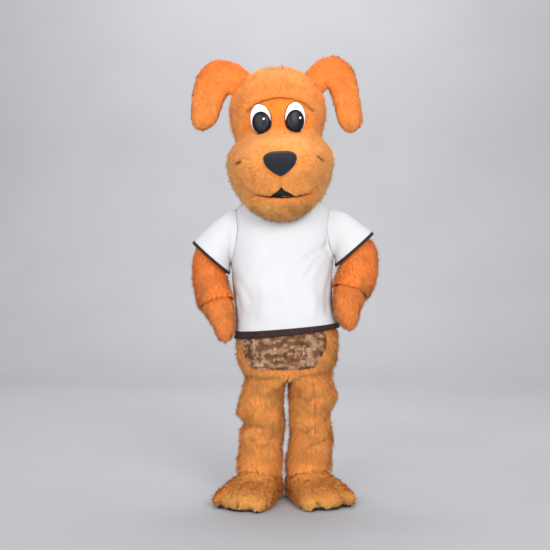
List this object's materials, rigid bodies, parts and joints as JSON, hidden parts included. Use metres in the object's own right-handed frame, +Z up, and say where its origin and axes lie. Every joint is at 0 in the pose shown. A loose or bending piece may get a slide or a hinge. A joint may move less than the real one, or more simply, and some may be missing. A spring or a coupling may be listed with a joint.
{
  "type": "dog mascot costume",
  "caption": "Hollow fur dog costume as worn: big head with hanging ears, padded nose and domed eyes, suit with belly patch, mitts, paw shoes and a white shirt with dark binding.",
  "frame": {"origin": "between the wearer's shoulders, where they carry the suit and the shirt, 1.345 m above the floor", "axes": "+Z up, the costume faces -Y, the wearer's left side is at +X"},
  "size_m": [0.8411, 0.6151, 1.9877],
  "materials": {
    "fur": "long-pile acrylic fur, orange with golden olive tips",
    "patch_plush": "crushed plush, marbled brown and beige",
    "shirt_cloth": "smooth thick knit, matte",
    "binding_tape": "folded tape, matte",
    "sole_foam": "matte foam sheet",
    "eye_white": "gloss",
    "pupil_black": "gloss",
    "nose_black": "short velour over foam",
    "mouth_mesh": "black mesh"
  },
  "bodies": {
    "root": {"shirt_front": "shirt_cloth", "shirt_back": "shirt_cloth", "shirt_sleeve_right": "shirt_cloth", "shirt_sleeve_left": "shirt_cloth", "binding_hem": "binding_tape", "binding_sleeve_right": "binding_tape", "binding_sleeve_left": "binding_tape", "suit_front": "fur", "suit_back": "fur", "arm_right": "fur", "arm_left": "fur", "leg_right": "fur", "leg_left": "fur", "belly_patch": "patch_plush", "mitt_right": "fur", "mitt_left": "fur", "thumb_right": "fur", "thumb_left": "fur", "paw_right": "fur", "paw_left": "fur", "sole_right": "sole_foam", "sole_left": "sole_foam", "head_jaw": "fur", "head_muzzle": "fur", "head_face": "fur", "head_back": "fur", "head_crown": "fur", "ear_right": "fur", "ear_left": "fur", "eye_white_right": "eye_white", "eye_white_left": "eye_white", "pupil_right": "pupil_black", "pupil_left": "pupil_black", "glint_right": "eye_white", "glint_left": "eye_white", "nose": "nose_black", "mouth_mesh": "mouth_mesh"}
  },
  "joints": []
}
